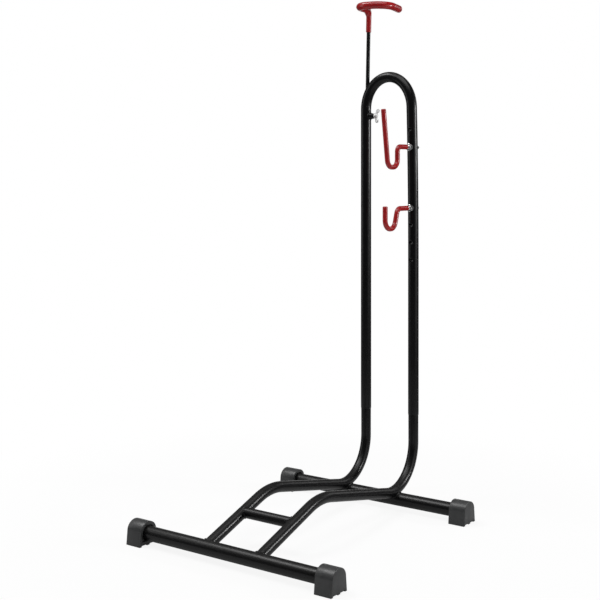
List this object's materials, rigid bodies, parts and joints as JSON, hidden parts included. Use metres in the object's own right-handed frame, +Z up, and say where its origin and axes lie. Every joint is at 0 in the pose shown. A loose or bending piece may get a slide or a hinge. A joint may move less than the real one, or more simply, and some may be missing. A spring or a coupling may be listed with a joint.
{
  "type": "bike stand",
  "caption": "Floor stand that holds a bike upright on its rear wheel between two bent arms, with a height-adjustable top hook and J hooks on a tube loop.",
  "frame": {"origin": "middle of the floor area that the stand covers, on the floor", "axes": "+Z up, the bike stands on the -Y side of the posts, and the cross tubes lie along X"},
  "size_m": [0.556, 0.6978, 1.2657],
  "materials": {
    "black_paint": "semi-gloss powder coat",
    "grey_plastic": "fine moulded grain",
    "black_plastic": "satin",
    "red_vinyl": "glossy dipped vinyl",
    "zinc": "bright zinc plate",
    "bare_steel": "drawn steel"
  },
  "bodies": {
    "frame": {"front_cross_tube": "black_paint", "rear_cross_tube": "black_paint", "left_arm_tube": "black_paint", "right_arm_tube": "black_paint", "arm_crossbar": "black_paint", "left_joint_sleeve": "bare_steel", "right_joint_sleeve": "bare_steel", "foot_front_left": "grey_plastic", "foot_front_right": "grey_plastic", "foot_rear_left": "grey_plastic", "foot_rear_right": "grey_plastic"},
    "loop": {"upper_loop": "black_paint", "clamp_boss": "black_paint", "upper_hook_front_saddle": "black_plastic", "upper_hook_back_nut": "black_paint", "lower_hook_front_saddle": "black_plastic", "lower_hook_back_nut": "black_paint"},
    "clamp_bolt": {"wing_bolt": "zinc"},
    "mast_slider": {"mast_bush": "black_plastic"},
    "mast": {"mast_rod": "black_paint", "top_hook_cover": "red_vinyl"},
    "upper_hook": {"upper_hook_rod": "zinc", "upper_hook_cover": "red_vinyl", "upper_hook_front_nut": "zinc"},
    "lower_hook": {"lower_hook_rod": "zinc", "lower_hook_cover": "red_vinyl", "lower_hook_front_nut": "zinc"}
  },
  "joints": [
    {"name": "loop_lift", "type": "slide", "parent": "frame", "child": "loop", "axis": [0, 0, 1], "range_m": [0, 0.08]},
    {"name": "clamp_turn", "type": "hinge", "parent": "loop", "child": "clamp_bolt", "pos_m": [-0.0452, 0.32295, 0.9795], "axis": [1, 0, 0], "range_deg": [0, 450]},
    {"name": "mast_height", "type": "slide", "parent": "loop", "child": "mast_slider", "axis": [0.0218, 0, 0.9998], "range_m": [-0.12, 0.09]},
    {"name": "mast_turn", "type": "hinge", "parent": "mast_slider", "child": "mast", "pos_m": [-0.0667, 0.32295, 1.056], "axis": [0.0218, 0, 0.9998], "continuous": true},
    {"name": "upper_hook_turn", "type": "hinge", "parent": "loop", "child": "upper_hook", "pos_m": [0.0682, 0.32295, 0.897], "axis": [0, 1, 0], "continuous": true},
    {"name": "lower_hook_turn", "type": "hinge", "parent": "loop", "child": "lower_hook", "pos_m": [0.07029, 0.32295, 0.743], "axis": [0, 1, 0], "continuous": true}
  ]
}
